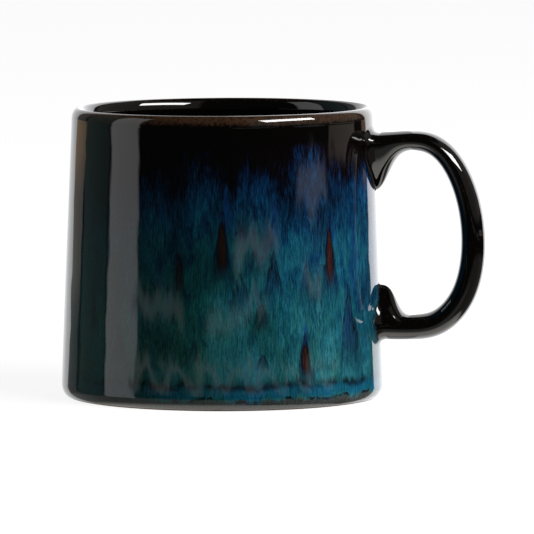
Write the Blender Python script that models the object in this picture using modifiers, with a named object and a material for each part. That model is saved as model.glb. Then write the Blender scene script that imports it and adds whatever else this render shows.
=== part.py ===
"""Glazed stoneware mug with a strap handle, modelled as the pieces it is made from.

The clay cup and the clay handle are fired pieces, two pads of slip lute the handle on, and
four coats of glaze lie over them. Units are metres. The origin is on the table at the cup's
axis, +Z is up, and the handle points along +X.
"""
import math

import bmesh
import bpy
from mathutils import Vector

# Driving dimensions of the finished mug
HEIGHT = 0.0900            # table to the crest of the lip
BASE_RADIUS = 0.05035      # widest part of the wall, just above the foot
RIM_RADIUS = 0.0471        # outside of the lip
CORNER_HEIGHT = 0.0040     # rounded corner between the wall and the foot
FOOT_RADIUS = 0.0480       # outer edge of the flat foot ring
FOOT_WIDTH = 0.0045
RECESS_SLOPE = 0.0010      # radial width of the step from the foot ring into the recess
RECESS_DEPTH = 0.0020      # clay underside above the table
LIP_THICKNESS = 0.0039     # the lip is a half ellipse, this thick
LIP_RISE = 0.0036          # and this tall
WALL_AT_FLOOR = 0.0046     # wall thickness where it meets the inside floor
FLOOR_HEIGHT = 0.0070      # inside floor above the table
FLOOR_CORNER = 0.0080      # inside radius between floor and wall
GLAZE = 0.0005             # thickness of every coat of glaze
GAP = 0.0003               # clearance between pieces that touch
LINER_LAP = 0.0050         # how far the liner glaze runs down the outside of the lip
GLAZE_LINE = 0.0004        # the outer coat stops this far above the table
PAD_THICKNESS = 0.0010     # slip between the cup and the handle

# Centreline of the handle in the XZ plane: control points of a cubic B-spline whose
# ends lie on the wall
HANDLE_PATH = (
    (0.0474, 0.0798), (0.0567, 0.0802), (0.0653, 0.0806), (0.0722, 0.0748),
    (0.0775, 0.0632), (0.0796, 0.0481), (0.0771, 0.0324), (0.0687, 0.0229),
    (0.0601, 0.0221), (0.0496, 0.0223),
)
STRAP_HALF_THICKNESS = (0.0029, 0.0040)   # at the upper and the lower root
STRAP_HALF_WIDTH = 0.0062
STRAP_SQUARENESS = 2.3           # power of the section's superellipse
ROOT_HALF_WIDTH = (0.0080, 0.0074)
ROOT_REACH = 0.0140              # over this distance from the wall the strap widens
WEB_HEIGHT = (0.0121, 0.0090)    # the strap's inner side runs this far along the wall
WEB_REACH = (0.0060, 0.0057)     # and has fallen to about a third this far from the wall
WEB_POWER = (2.1, 3.5)           # the higher, the blunter the web's end
WEB_POINT = (0.95, 1.05)         # 0 gives the web a rounded tip, 1.3 a pointed one
FILLET_INNER = 0.0010            # fillet to the wall on the strap's inner side
FILLET_OUTER = 0.0026            # on its outer side
FILLET_SIDE = 0.0042             # and along its two edges
BEND_REACH = 0.0120              # sections follow the wall's curve up to this distance
STEEPEST = 3.0                   # most that a slope may lengthen an inset by

# Resolution
TURN_STEPS = 60
RING_POINTS = 24
SPAN_SAMPLES = 40
CAP_SHARES = (0.3, 0.65)         # rings between the middle and the edge of an end cap
ROOT_STATIONS = (0.0016, 0.0029, 0.0042, 0.0055, 0.0068, 0.0081, 0.0096, 0.0115, 0.0140)
MIDDLE_STATIONS = 16

COAT = GLAZE + GAP               # clay surface below the finished surface
LIP_RADIUS = LIP_THICKNESS / 2
LIP_CENTRE = (RIM_RADIUS - LIP_RADIUS, HEIGHT - LIP_RISE)
LAP_HEIGHT = HEIGHT - LINER_LAP


def clear_scene():
    for item in list(bpy.data.objects):
        bpy.data.objects.remove(item, do_unlink=True)


def new_collection(name):
    collection = bpy.data.collections.new(name)
    bpy.context.scene.collection.children.link(collection)
    return collection


def principled(name, colour, roughness):
    material = bpy.data.materials.new(name)
    material.use_nodes = True
    shader = material.node_tree.nodes["Principled BSDF"]
    shader.inputs["Base Color"].default_value = (*colour, 1.0)
    shader.inputs["Roughness"].default_value = roughness
    shader.inputs["Metallic"].default_value = 0.0
    return material


# Turned pieces -----------------------------------------------------------------------------

def wall_radius(height):
    """Outer radius of the finished wall, a straight taper from the base to the lip."""
    share = (height - CORNER_HEIGHT) / (LIP_CENTRE[1] - CORNER_HEIGHT)
    return BASE_RADIUS + share * (RIM_RADIUS - BASE_RADIUS)


def arc(centre, semi_axes, start, end, steps):
    """Points (radius, height) on an ellipse from one angle to another, in degrees."""
    points = []
    for step in range(steps + 1):
        angle = math.radians(start + (end - start) * step / steps)
        points.append((centre[0] + semi_axes[0] * math.cos(angle),
                       centre[1] + semi_axes[1] * math.sin(angle)))
    return points


def inside(inset):
    """The cavity's outline from the axis over the floor and up the wall to the lip."""
    corner_top = FLOOR_HEIGHT + FLOOR_CORNER
    wall = wall_radius(corner_top) - WALL_AT_FLOOR
    centre = (wall - FLOOR_CORNER, corner_top)
    radius = FLOOR_CORNER + inset
    return [(0.0, FLOOR_HEIGHT - inset)] + arc(centre, (radius, radius), -90, 0, 4)


def lip(inset):
    """The rounded lip, from its inner side over the crest to its outer side."""
    return arc(LIP_CENTRE, (LIP_RADIUS - inset, LIP_RISE - inset), 180, 0, 8)


def corner(inset, lowest):
    """The rounded corner from the wall down towards the foot, ending at a height."""
    end = -math.degrees(math.asin((CORNER_HEIGHT - lowest) / CORNER_HEIGHT))
    semi_axes = (BASE_RADIUS - FOOT_RADIUS - inset, CORNER_HEIGHT)
    return arc((FOOT_RADIUS, CORNER_HEIGHT), semi_axes, 0, end, 4)


def turned(name, outline, material, collection, closed):
    """A solid of revolution: the outline's points turned about the Z axis."""
    mesh = bpy.data.meshes.new(name)
    edges = [(index, index + 1) for index in range(len(outline) - 1)]
    if closed:
        edges.append((len(outline) - 1, 0))
    mesh.from_pydata([(radius, 0.0, height) for radius, height in outline], edges, [])
    mesh.materials.append(material)
    item = bpy.data.objects.new(name, mesh)
    collection.objects.link(item)
    screw = item.modifiers.new("turn", "SCREW")
    screw.axis = "Z"
    screw.steps = TURN_STEPS
    screw.render_steps = TURN_STEPS
    screw.use_merge_vertices = True
    screw.merge_threshold = 0.00001
    screw.use_smooth_shade = True
    return item


def cup_body(material, collection):
    foot_inner = FOOT_RADIUS - FOOT_WIDTH
    outline = inside(COAT) + lip(COAT) + corner(COAT, 0.0)
    outline.append((foot_inner, 0.0))
    outline.append((foot_inner - RECESS_SLOPE, RECESS_DEPTH))
    outline.append((0.0, RECESS_DEPTH))
    return turned("cup_body", outline, material, collection, closed=False)


def liner_glaze(material, collection):
    """The dark coat inside the cup, over the lip and a little way down the outside."""
    lap = wall_radius(LAP_HEIGHT)
    seen = inside(0.0) + lip(0.0) + [(lap, LAP_HEIGHT)]
    hidden = inside(GLAZE) + lip(GLAZE) + [(lap - GLAZE, LAP_HEIGHT)]
    return turned("liner_glaze", seen + hidden[::-1], material, collection, closed=False)


def outer_glaze(material, collection):
    """The reactive coat around the wall, from under the liner's lap to above the foot."""
    top = LAP_HEIGHT - GAP
    rows = 6
    heights = [top + (CORNER_HEIGHT - top) * row / rows for row in range(rows)]
    seen = [(wall_radius(height), height) for height in heights] + corner(0.0, GLAZE_LINE)
    hidden = [(wall_radius(height) - GLAZE, height) for height in heights]
    hidden += corner(GLAZE, GLAZE_LINE)
    return turned("outer_glaze", seen + hidden[::-1], material, collection, closed=True)


def underside_glaze(material, collection):
    """The thin coat in the recess inside the foot ring."""
    top = RECESS_DEPTH - GAP
    edge = FOOT_RADIUS - FOOT_WIDTH - RECESS_SLOPE - GAP
    outline = [(0.0, top), (edge - GLAZE / 2, top), (edge, top - GLAZE / 2),
               (edge - GLAZE / 2, top - GLAZE), (0.0, top - GLAZE)]
    return turned("underside_glaze", outline, material, collection, closed=False)


# The handle --------------------------------------------------------------------------------

def spline_points(control):
    """Points along the uniform cubic B-spline that starts and ends at its end controls."""
    ends = [(2 * a[0] - b[0], 2 * a[1] - b[1])
            for a, b in ((control[0], control[1]), (control[-1], control[-2]))]
    control = [ends[0], *control, ends[1]]
    points = []
    for span in range(len(control) - 3):
        for sample in range(SPAN_SAMPLES):
            t = sample / SPAN_SAMPLES
            weights = ((1 - t) ** 3, 3 * t ** 3 - 6 * t ** 2 + 4,
                       -3 * t ** 3 + 3 * t ** 2 + 3 * t + 1, t ** 3)
            four = control[span:span + 4]
            points.append([sum(w * p[axis] for w, p in zip(weights, four)) / 6
                           for axis in (0, 1)])
    points.append(list(control[-2]))
    return [Vector((x, 0.0, z)) for x, z in points]


PATH = spline_points(HANDLE_PATH)
LENGTHS = [0.0]
for before, after in zip(PATH, PATH[1:]):
    LENGTHS.append(LENGTHS[-1] + (after - before).length)
PATH_LENGTH = LENGTHS[-1]


def path_at(length):
    """Point on the centreline at a distance along it, and the direction there."""
    index = 0
    while index < len(PATH) - 2 and LENGTHS[index + 1] < length:
        index += 1
    step = PATH[index + 1] - PATH[index]
    share = (length - LENGTHS[index]) / step.length
    return PATH[index] + step * share, step.normalized()


def mix(pair, share):
    return pair[0] + (pair[1] - pair[0]) * share


def ring_angles():
    """Angles from the strap's inner side, closer together where the web is narrow."""
    half = RING_POINTS // 2
    angles = []
    for index in range(-half, half):
        share = index / half
        angles.append(math.copysign(math.pi * abs(share) ** 1.5, share))
    return angles


def fillet(size, distance):
    """Growth of the outline at a distance from the wall, tangent to wall and strap."""
    if distance >= size:
        return 0.0
    return size * (1 - math.sqrt(distance / size)) ** 2


def oval(angle, height, width, power):
    """Polar radius of a superellipse."""
    across, along = abs(math.cos(angle)) / height, abs(math.sin(angle)) / width
    return (across ** power + along ** power) ** (-1 / power)


def finished_radius(angle, length):
    """Polar radius of the finished handle's section, around its centreline, at an angle."""
    share = length / PATH_LENGTH
    upper = length < PATH_LENGTH / 2
    distance = length if upper else PATH_LENGTH - length
    root = 0 if upper else 1
    thickness = mix(STRAP_HALF_THICKNESS, math.sin(share * math.pi / 2))
    widening = math.exp(-(distance / ROOT_REACH) ** 2)
    width = mix((STRAP_HALF_WIDTH, ROOT_HALF_WIDTH[root]), widening)
    strap = oval(angle, thickness, width, STRAP_SQUARENESS)
    nearness = math.exp(-(distance / WEB_REACH[root]) ** WEB_POWER[root])
    web = 0.0
    if math.cos(angle) > 0:
        height = thickness + WEB_HEIGHT[root] * nearness
        power = STRAP_SQUARENESS - WEB_POINT[root] * nearness * math.cos(angle) ** 2
        web = oval(angle, height, width, power) - strap
    flat = mix((FILLET_INNER, FILLET_OUTER), (1 - math.cos(angle)) / 2)
    size = mix((flat, FILLET_SIDE), math.sin(angle) ** 2)
    return strap + web + fillet(size, distance)


def outline_radius(angle, length, inset):
    """Polar radius of a surface that lies an inset below the finished one, along its normal."""
    radius = finished_radius(angle, length)
    turn, step = 0.01, 0.0001
    around = (finished_radius(angle + turn, length) - radius) / (turn * radius)
    along = (finished_radius(angle, length + step) - radius) / step
    return radius - inset * min(STEEPEST, math.hypot(1, around, along))


def section_point(angle, length, inset, scale=1.0, shell=None):
    """One point of a section; near the wall the section is bent to the wall's curve.

    shell overrides the distance from the wall at which the point lies.
    """
    centre, along = path_at(length)
    inward = Vector((along.z, 0.0, -along.x))
    radius = outline_radius(angle, length, inset) * scale
    point = centre + inward * (radius * math.cos(angle))
    point.y = radius * math.sin(angle)
    distance = min(length, PATH_LENGTH - length)
    if shell is not None:
        distance = shell
    if distance < BEND_REACH:
        around = wall_radius(point.z) + distance
        bent = math.sqrt(around ** 2 - point.y ** 2)
        share = min(1.0, (BEND_REACH - distance) / (BEND_REACH - 0.001)) ** 2
        point.x = mix((point.x, bent), share)
    return point


def ring(length, inset, scale=1.0, shell=None):
    return [section_point(angle, length, inset, scale, shell) for angle in ring_angles()]


def stations(end):
    """Distances along the centreline at which sections lie, from root to root."""
    root = [end, *ROOT_STATIONS]
    first = ROOT_STATIONS[-1]
    last = PATH_LENGTH - first
    middle = [first + (last - first) * step / MIDDLE_STATIONS
              for step in range(1, MIDDLE_STATIONS)]
    return root + middle + [PATH_LENGTH - length for length in reversed(root)]


def lofted(name, rings, material, collection, poles=None):
    """A closed skin over rings of equal size: between two poles, or round in a loop."""
    form = bmesh.new()
    rows = [[form.verts.new(point) for point in points] for points in rings]
    pairs = list(zip(rows, rows[1:]))
    if poles is None:
        pairs.append((rows[-1], rows[0]))
    for row, following in pairs:
        for index in range(len(row)):
            after = (index + 1) % len(row)
            form.faces.new((row[index], row[after], following[after], following[index]))
    if poles is not None:
        for pole, row in zip(poles, (rows[0], rows[-1])):
            tip = form.verts.new(pole)
            for index in range(len(row)):
                form.faces.new((tip, row[index], row[(index + 1) % len(row)]))
    bmesh.ops.recalc_face_normals(form, faces=form.faces)
    mesh = bpy.data.meshes.new(name)
    form.to_mesh(mesh)
    form.free()
    mesh.shade_smooth()
    mesh.set_sharp_from_angle(angle=math.radians(50))
    if material is not None:
        mesh.materials.append(material)
    item = bpy.data.objects.new(name, mesh)
    collection.objects.link(item)
    return item


PAD_TOP = PAD_THICKNESS - COAT + GAP     # outer face of a slip pad above the finished wall
CLAY_END = PAD_TOP + GAP                 # the handle's clay starts this far off that wall


def handle(material, collection):
    ends = (CLAY_END, PATH_LENGTH - CLAY_END)
    caps = [[ring(end, COAT, scale) for scale in CAP_SHARES] for end in ends]
    rings = caps[0] + [ring(length, COAT) for length in stations(CLAY_END)] + caps[1][::-1]
    poles = [section_point(0.0, end, COAT, 0.0) for end in ends]
    return lofted("handle", rings, material, collection, poles)


def handle_glaze(material, collection):
    """A sleeve of glaze around the handle that ends on the outer coat of the wall."""
    lengths = stations(GAP)
    rings = [ring(length, 0.0) for length in lengths]
    rings += [ring(length, GLAZE) for length in reversed(lengths)]
    return lofted("handle_glaze", rings, material, collection)


def slip_joint(name, length, material, collection):
    """The pad of slip between the cup's clay wall and the end of the handle's clay."""
    faces = (PAD_TOP - PAD_THICKNESS, PAD_TOP)
    caps = [[ring(length, COAT, scale, face) for scale in (*CAP_SHARES, 1.0)]
            for face in faces]
    poles = [section_point(0.0, length, COAT, 0.0, face) for face in faces]
    return lofted(name, caps[0] + caps[1][::-1], material, collection, poles)


def root_cutter(name, length, collection):
    """A prism along X with the outline that a slip pad needs in the outer coat."""
    outline = ring(length, GLAZE)
    inner, outer = wall_radius(0.0) - 0.012, wall_radius(0.0) + 0.006
    rings = [[Vector((x, point.y, point.z)) for point in outline] for x in (inner, outer)]
    centre = path_at(length)[0]
    poles = [Vector((x, 0.0, centre.z)) for x in (inner, outer)]
    item = lofted(name, rings, None, collection, poles)
    item.display_type = "WIRE"
    item.hide_render = True
    return item


def cut(item, cutter):
    boolean = item.modifiers.new(cutter.name, "BOOLEAN")
    boolean.operation = "DIFFERENCE"
    boolean.solver = "EXACT"
    boolean.object = cutter


def build():
    clear_scene()
    pieces = new_collection("stoneware_mug")
    cutters = new_collection("cutters")
    clay = principled("stoneware", (0.45, 0.32, 0.20), 0.75)
    slip = principled("joining_slip", (0.52, 0.39, 0.26), 0.80)
    blue = principled("reactive_blue", (0.008, 0.060, 0.085), 0.08)
    black = principled("black_brown", (0.012, 0.008, 0.006), 0.08)

    mug = bpy.data.objects.new("mug", None)
    pieces.objects.link(mug)
    roots = {"upper": CLAY_END, "lower": PATH_LENGTH - CLAY_END}
    coat = outer_glaze(blue, pieces)
    parts = [cup_body(clay, pieces), handle(clay, pieces), coat,
             liner_glaze(black, pieces), handle_glaze(black, pieces),
             underside_glaze(black, pieces)]
    for side, length in roots.items():
        parts.append(slip_joint(side + "_slip_joint", length, slip, pieces))
        cut(coat, root_cutter(side + "_root_cutter", length, cutters))
    for part in parts:
        part.parent = mug


build()
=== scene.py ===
"""Looks of the glazed stoneware mug: a fine mesh of each coat of glaze, and the materials."""
import math

import bpy
import numpy as np
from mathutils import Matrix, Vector


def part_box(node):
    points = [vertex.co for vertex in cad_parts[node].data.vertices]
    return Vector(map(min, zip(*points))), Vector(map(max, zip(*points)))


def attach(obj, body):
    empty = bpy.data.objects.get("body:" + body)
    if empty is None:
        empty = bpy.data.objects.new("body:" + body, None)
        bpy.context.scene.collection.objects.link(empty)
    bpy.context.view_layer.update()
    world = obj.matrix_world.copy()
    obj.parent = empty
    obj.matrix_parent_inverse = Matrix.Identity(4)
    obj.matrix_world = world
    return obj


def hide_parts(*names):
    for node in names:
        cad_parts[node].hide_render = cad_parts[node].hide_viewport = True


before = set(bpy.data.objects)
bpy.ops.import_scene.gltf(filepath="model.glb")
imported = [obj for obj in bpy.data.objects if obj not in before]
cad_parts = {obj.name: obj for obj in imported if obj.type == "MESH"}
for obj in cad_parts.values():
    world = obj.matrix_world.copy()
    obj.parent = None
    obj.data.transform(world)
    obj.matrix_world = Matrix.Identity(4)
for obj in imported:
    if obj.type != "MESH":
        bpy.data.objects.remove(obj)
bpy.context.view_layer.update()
coat_low, coat_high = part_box("outer_glaze")
liner_low, liner_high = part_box("liner_glaze")

# Sizes of the finished mug, in metres; those that the frame gives are read from it
HEIGHT = liner_high.z
BASE_RADIUS = coat_high.x
SEAM_HEIGHT = coat_high.z          # the liner's lap meets the outer coat here
GLAZE_LINE = coat_low.z            # the outer coat stops this far above the table
RIM_RADIUS = 0.0471
CORNER_HEIGHT = 0.0040
FOOT_RADIUS = 0.0480
FOOT_WIDTH = 0.0045
FOOT_CHAMFER = 0.0004
RECESS_SLOPE = 0.0010
RECESS_DEPTH = 0.0020
RECESS_ROUNDING = 0.0006
LIP_THICKNESS = 0.0039
LIP_RISE = 0.0036
WALL_AT_FLOOR = 0.0046
FLOOR_CORNER = 0.0080
GLAZE = 0.0005
GAP = 0.0003
COAT = GLAZE + GAP
FLOOR_HEIGHT = liner_low.z + GLAZE
LIP_RADIUS = LIP_THICKNESS / 2
LIP_CENTRE = (RIM_RADIUS - LIP_RADIUS, HEIGHT - LIP_RISE)

# The handle, as the frame has it
HANDLE_PATH = (
    (0.0474, 0.0798), (0.0567, 0.0802), (0.0653, 0.0806), (0.0722, 0.0748),
    (0.0775, 0.0632), (0.0796, 0.0481), (0.0771, 0.0324), (0.0687, 0.0229),
    (0.0601, 0.0221), (0.0496, 0.0223),
)
STRAP_HALF_THICKNESS = (0.0029, 0.0040)
STRAP_HALF_WIDTH = 0.0062
STRAP_SQUARENESS = 2.3
ROOT_HALF_WIDTH = (0.0080, 0.0074)
ROOT_REACH = 0.0140
WEB_HEIGHT = (0.0121, 0.0090)
WEB_REACH = (0.0060, 0.0057)
WEB_POWER = (2.1, 3.5)
WEB_POINT = (0.95, 1.05)
FILLET_INNER = 0.0010
FILLET_OUTER = 0.0026
FILLET_SIDE = 0.0042
BEND_REACH = 0.0120

# Fineness of the meshes
TURN_COLUMNS = 448
HANDLE_COLUMNS = 112
HANDLE_ROOT_ROWS = 61
HANDLE_MIDDLE_ROWS = 161
ROOT_ROWS_REACH = 0.0140           # the handle's rows are closer together up to here
COARSER = 4                        # hidden sides have every fourth point
SLOPE_STEPS = (0.01, 0.0001)       # around in radians and along in metres, to find a slope
SHARP_ANGLE = 40.0                 # edges sharper than this are not shaded smooth

# The camera: how far round from the mug's front and how high, in degrees, then in metres
VIEW_AZIMUTH = 10.0
VIEW_ELEVATION = 5.0
VIEW_DISTANCE = 2.2
VIEW_TARGET = (0.0137, 0.0400)     # to the right of the cup's axis, and above the table
VIEW_WIDTH = 0.1663                # width of the picture at the mug
SENSOR_WIDTH = 36.0                # in mm

RANDOM = np.random.default_rng(7)


# ------------------------------------------------------------------ profiles and surfaces

def pair_mix(pair, share):
    return pair[0] + (pair[1] - pair[0]) * share


def smooth_step(low, high, value):
    share = np.clip((value - low) / (high - low), 0.0, 1.0)
    return share * share * (3 - 2 * share)


def wall_radius(height):
    share = (height - CORNER_HEIGHT) / (LIP_CENTRE[1] - CORNER_HEIGHT)
    return BASE_RADIUS + share * (RIM_RADIUS - BASE_RADIUS)


def arc(centre, semi_axes, start, end, steps):
    """Points on an ellipse, from one angle in degrees to another."""
    angles = np.radians(np.linspace(start, end, steps + 1))
    return np.column_stack((centre[0] + semi_axes[0] * np.cos(angles),
                            centre[1] + semi_axes[1] * np.sin(angles)))


def line(start, end, steps):
    return np.linspace(start, end, steps + 1)


def joined(*runs):
    """One profile from several runs of points, without their doubled ends."""
    return np.vstack([runs[0]] + [run[1:] for run in runs[1:]])


def inside_profile():
    """Visible side of the liner: from the floor's middle over the lip to its lap."""
    corner_top = FLOOR_HEIGHT + FLOOR_CORNER
    wall = wall_radius(corner_top) - WALL_AT_FLOOR
    centre = (wall - FLOOR_CORNER, corner_top)
    floor_corner = arc(centre, (FLOOR_CORNER, FLOOR_CORNER), -90, 0, 16)
    lip = arc(LIP_CENTRE, (LIP_RADIUS, LIP_RISE), 180, 0, 44)
    return joined(line((0.0012, FLOOR_HEIGHT), floor_corner[0], 24), floor_corner,
                  line(floor_corner[-1], lip[0], 72), lip,
                  line(lip[-1], (wall_radius(SEAM_HEIGHT), SEAM_HEIGHT), 8))


def outside_profile():
    """Visible side of the outer coat: from the seam down the wall to the glaze line."""
    end = -math.degrees(math.asin((CORNER_HEIGHT - GLAZE_LINE) / CORNER_HEIGHT))
    corner = arc((FOOT_RADIUS, CORNER_HEIGHT), (BASE_RADIUS - FOOT_RADIUS, CORNER_HEIGHT),
                 0, end, 16)
    return joined(line((wall_radius(SEAM_HEIGHT), SEAM_HEIGHT), corner[0], 124), corner)


def profile_normals(profile):
    along = np.gradient(profile, axis=0)
    normals = np.column_stack((-along[:, 1], along[:, 0]))
    return normals / np.linalg.norm(normals, axis=1)[:, None]


def waves(count, lobes, length):
    """Random smooth waves around and up the wall: lobes around, and length up, as ranges."""
    return [(RANDOM.integers(*lobes), RANDOM.uniform(0, 2 * math.pi),
             2 * math.pi / RANDOM.uniform(*length), RANDOM.uniform(0, 2 * math.pi))
            for _ in range(count)]


SWELL_WAVES = waves(9, (14, 40), (0.080, 0.200))
RAGGED_WAVES = waves(14, (56, 96), (0.030, 0.070))
FLOW_WAVES = waves(6, (2, 9), (0.060, 0.150))
SWELL = 0.000017                   # height of the slow unevenness of the glazed wall
RAGGED = 0.0000032                 # and of the finer one on it
RELIEF_AT_FOOT = (0.004, 0.014)    # the unevenness grows from nothing between these heights
RELIEF_AT_LIP = (0.0885, 0.078)    # and dies out again between these
RIM_TILT = 0.0052                  # the rim rises towards the handle by this slope
TILT_START = 0.050                 # and the wall below it does, from this height


def wave_sum(table, angle, height):
    total = 0.0
    for lobes, phase, rate, shift in table:
        total = total + np.sin(lobes * angle + phase) * np.sin(rate * height + shift)
    return total / math.sqrt(len(table))


def relief(angle, height):
    """Unevenness of the wall, which dies out at the lip and at the foot."""
    fade = smooth_step(*RELIEF_AT_FOOT, height) * smooth_step(*RELIEF_AT_LIP, height)
    swell = SWELL * wave_sum(SWELL_WAVES, angle, height)
    return fade * (swell + RAGGED * wave_sum(RAGGED_WAVES, angle, height))


def turned_grid(profile, columns, depth=0.0):
    """Points of a profile turned about the cup's axis, a depth under the glazed surface."""
    angles = np.arange(columns) * 2 * math.pi / columns
    normals = profile_normals(profile)
    angle, height = np.meshgrid(angles, profile[:, 1])
    lift = relief(angle, height) * np.minimum(1.0, profile[:, :1] / BASE_RADIUS) - depth
    radius = profile[:, :1] + normals[:, :1] * lift
    level = profile[:, 1:] + normals[:, 1:] * lift
    tilted = smooth_step(TILT_START, HEIGHT, level)
    level = level + RIM_TILT * radius * np.cos(angle) * tilted
    return np.stack((radius * np.cos(angle), radius * np.sin(angle), level), axis=-1)


# ------------------------------------------------------------------ the handle's surface

def spline(control, samples):
    """Points along the uniform cubic B-spline that starts and ends at its end controls."""
    control = np.array(control)
    control = np.vstack((2 * control[0] - control[1], control,
                         2 * control[-1] - control[-2]))
    t = np.linspace(0, 1, samples, endpoint=False)[:, None]
    spans = [((1 - t) ** 3 * a + (3 * t ** 3 - 6 * t ** 2 + 4) * b
              + (-3 * t ** 3 + 3 * t ** 2 + 3 * t + 1) * c + t ** 3 * d) / 6
             for a, b, c, d in zip(control, control[1:], control[2:], control[3:])]
    return np.vstack((*spans, control[-2:-1]))


PATH = spline(HANDLE_PATH, 200)
STEPS = np.linalg.norm(np.diff(PATH, axis=0), axis=1)
LENGTHS = np.concatenate(([0.0], np.cumsum(STEPS)))
PATH_LENGTH = LENGTHS[-1]
TANGENTS = np.gradient(PATH, LENGTHS, axis=0)


def along_path(table, length):
    """What a table of pairs, one for each point of the path, says at each length along it."""
    return np.stack([np.interp(length, LENGTHS, table[:, axis]) for axis in (0, 1)], axis=-1)


def oval(angle, height, width, power):
    """Polar radius of a superellipse."""
    across, along = np.abs(np.cos(angle)) / height, np.abs(np.sin(angle)) / width
    return (across ** power + along ** power) ** (-1 / power)


def handle_radius(angle, length):
    """Polar radius of the handle's section around its centreline."""
    share = length / PATH_LENGTH
    lower = (share > 0.5).astype(float)
    distance = np.minimum(length, PATH_LENGTH - length)
    thickness = pair_mix(STRAP_HALF_THICKNESS, np.sin(share * math.pi / 2))
    widening = np.exp(-(distance / ROOT_REACH) ** 2)
    width = pair_mix((STRAP_HALF_WIDTH, pair_mix(ROOT_HALF_WIDTH, lower)), widening)
    strap = oval(angle, thickness, width, STRAP_SQUARENESS)
    nearness = np.exp(-(distance / pair_mix(WEB_REACH, lower)) ** pair_mix(WEB_POWER, lower))
    height = thickness + pair_mix(WEB_HEIGHT, lower) * nearness
    point = pair_mix(WEB_POINT, lower)
    power = STRAP_SQUARENESS - point * nearness * np.cos(angle) ** 2
    web = np.where(np.cos(angle) > 0, oval(angle, height, width, power) - strap, 0.0)
    flat = pair_mix((FILLET_INNER, FILLET_OUTER), (1 - np.cos(angle)) / 2)
    size = flat + (FILLET_SIDE - flat) * np.sin(angle) ** 2
    fillet = size * (1 - np.sqrt(np.clip(distance / size, 0.0, 1.0))) ** 2
    return strap + web + fillet


def handle_grid(columns, lengths, depth):
    """Points of the handle's surface, a depth under the glazed one.

    Columns crowd together at the ridge of the webs, which is at the angle 0. Near the roots
    the points bend to follow the cup's wall.
    """
    half = columns // 2
    share = np.arange(-half, columns - half) / half
    ring = np.sign(share) * math.pi * np.abs(share) ** 1.5
    angle, length = np.meshgrid(ring, lengths)
    radius = handle_radius(angle, length)
    if depth:
        turn, step = SLOPE_STEPS
        around = (handle_radius(angle + turn, length) - radius) / (turn * radius)
        along = (handle_radius(angle, length + step) - radius) / step
        radius = radius - depth * np.minimum(3.0, np.sqrt(1 + around ** 2 + along ** 2))
    centre = along_path(PATH, length)
    forward = along_path(TANGENTS, length)
    forward = forward / np.linalg.norm(forward, axis=-1, keepdims=True)
    x = centre[..., 0] + forward[..., 1] * radius * np.cos(angle)
    z = centre[..., 1] - forward[..., 0] * radius * np.cos(angle)
    y = radius * np.sin(angle)
    distance = np.minimum(length, PATH_LENGTH - length)
    around_axis = np.arctan2(y, x)
    shell = wall_radius(z) + relief(around_axis, z) + distance
    bent = np.sqrt(np.maximum(shell ** 2 - y ** 2, 0.0))
    share = np.clip((BEND_REACH - distance) / (BEND_REACH - 0.001), 0.0, 1.0) ** 2
    x = x + (bent - x) * share
    return np.stack((x, y, z), axis=-1), distance


def handle_lengths():
    """Stations along the centreline, closer together towards the two roots."""
    root = ROOT_ROWS_REACH * np.linspace(0, 1, HANDLE_ROOT_ROWS) ** 2
    middle = np.linspace(ROOT_ROWS_REACH, PATH_LENGTH - ROOT_ROWS_REACH,
                         HANDLE_MIDDLE_ROWS)[1:-1]
    return np.concatenate((root, middle, PATH_LENGTH - root[::-1]))


# ------------------------------------------------------------------ closed meshes

def new_mesh(name, points, faces, material):
    mesh = bpy.data.meshes.new(name)
    mesh.from_pydata(points.tolist(), [], faces)
    mesh.materials.append(material)
    mesh.shade_smooth()
    mesh.set_sharp_from_angle(angle=math.radians(SHARP_ANGLE))
    piece = bpy.data.objects.new(name, mesh)
    bpy.context.scene.collection.objects.link(piece)
    return piece


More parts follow.
